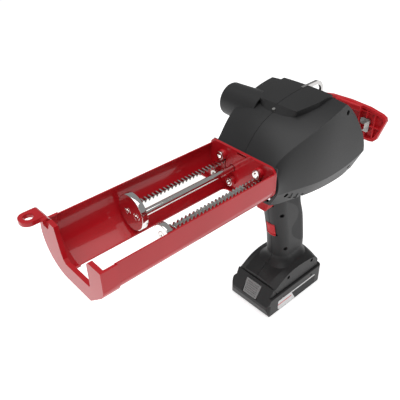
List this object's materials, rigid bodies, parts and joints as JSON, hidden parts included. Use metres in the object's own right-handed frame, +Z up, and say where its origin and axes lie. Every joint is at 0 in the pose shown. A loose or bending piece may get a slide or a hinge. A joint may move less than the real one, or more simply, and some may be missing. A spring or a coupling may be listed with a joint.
{
  "type": "caulking gun",
  "caption": "Cordless two-component caulking gun: open double-cartridge carrier, rack-driven piston discs, pistol housing with trigger and a slide-on battery pack.",
  "frame": {"origin": "middle of the underside of the battery pack, on which the gun stands; Y = 0 is the parting plane of the housing", "axes": "+X forward along the carrier towards the nozzle end, +Y to the operator's left, +Z up"},
  "size_m": [0.4603, 0.1465, 0.3124],
  "materials": {
    "carrier_red": "gloss",
    "nose_red": "gloss",
    "red_plastic": "satin",
    "housing_black": "matte",
    "battery_black": "matte",
    "button_grey": "matte",
    "soft_black": "matte",
    "polished_steel": "polished",
    "steel": "satin",
    "grey_steel": "satin",
    "aluminium": "satin",
    "bronze": "satin",
    "white_plastic": "satin",
    "board_green": "satin",
    "label_print": "gloss",
    "cell_metal": "gloss",
    "copper": "gloss"
  },
  "bodies": {
    "gun": {"left_housing_shell": "housing_black", "right_housing_shell": "housing_black", "housing_screws": "grey_steel", "soft_grip": "soft_black", "motor_cover": "housing_black", "motor": "steel", "motor_gearbox": "steel", "motor_bracket": "steel", "motor_bush": "bronze", "shaft_bushes": "bronze", "gearbox_frame": "aluminium", "rack_guide": "white_plastic", "front_gasket": "soft_black", "hanging_loop": "steel", "hood_screw": "polished_steel", "control_board": "board_green", "trigger_switch": "housing_black", "trigger_spring": "polished_steel", "battery_dock": "housing_black", "contact_blades": "copper", "carrier_back_plate": "carrier_red", "carrier_tray": "carrier_red", "carrier_nose": "nose_red", "carrier_screws": "polished_steel"},
    "rack_carriage": {"large_rack": "polished_steel", "small_rack": "polished_steel", "guide_rod": "polished_steel", "large_piston_disc": "polished_steel", "small_piston_disc": "polished_steel", "piston_screws": "polished_steel", "pull_handle": "red_plastic", "rack_end_plates": "grey_steel", "pull_handle_screws": "grey_steel"},
    "drive_shaft": {"cross_shaft": "polished_steel", "drive_gear": "steel", "large_rack_pinion": "steel", "small_rack_pinion": "steel"},
    "motor_drive": {"motor_output_shaft": "polished_steel", "motor_pinion": "steel"},
    "trigger": {"trigger": "red_plastic"},
    "lock_switch": {"lock_switch": "red_plastic"},
    "battery": {"battery_upper_case": "battery_black", "battery_lower_case": "battery_black", "battery_corner_pads": "soft_black", "battery_cells": "cell_metal", "battery_label_left": "label_print", "battery_label_right": "label_print"},
    "release_button": {"battery_release_button": "button_grey"}
  },
  "joints": [
    {"name": "rack_slide", "type": "slide", "parent": "gun", "child": "rack_carriage", "axis": [1, 0, 0], "range_m": [-0.116, 0.04]},
    {"name": "shaft_spin", "type": "hinge", "parent": "gun", "child": "drive_shaft", "pos_m": [0.04325, 0, 0.25276], "axis": [0, 1, 0], "range_deg": [-800, 800]},
    {"name": "motor_spin", "type": "hinge", "parent": "gun", "child": "motor_drive", "pos_m": [0.01805, 0, 0.28137], "axis": [0, 1, 0], "range_deg": [-2500, 2500]},
    {"name": "trigger_squeeze", "type": "slide", "parent": "gun", "child": "trigger", "axis": [-1, 0, 0], "range_m": [0, 0.0055], "stiffness_N_per_m": 500, "springref_m": -0.006, "deforming": ["trigger_spring"]},
    {"name": "lock_turn", "type": "hinge", "parent": "gun", "child": "lock_switch", "pos_m": [0.01325, 0, 0.155], "axis": [-0.2055, 0, -0.9787], "range_deg": [-8, 8]},
    {"name": "battery_slide", "type": "slide", "parent": "gun", "child": "battery", "axis": [1, 0, 0], "range_m": [0, 0.09]},
    {"name": "release_press", "type": "slide", "parent": "battery", "child": "release_button", "axis": [-0.8961, 0, -0.4439], "range_m": [0, 0.0022], "stiffness_N_per_m": 600, "springref_m": -0.002}
  ],
  "couplings": [
    {"joint": "shaft_spin", "follows": "rack_slide", "rad_per_m": -86.307},
    {"joint": "motor_spin", "follows": "rack_slide", "rad_per_m": 289.75}
  ]
}
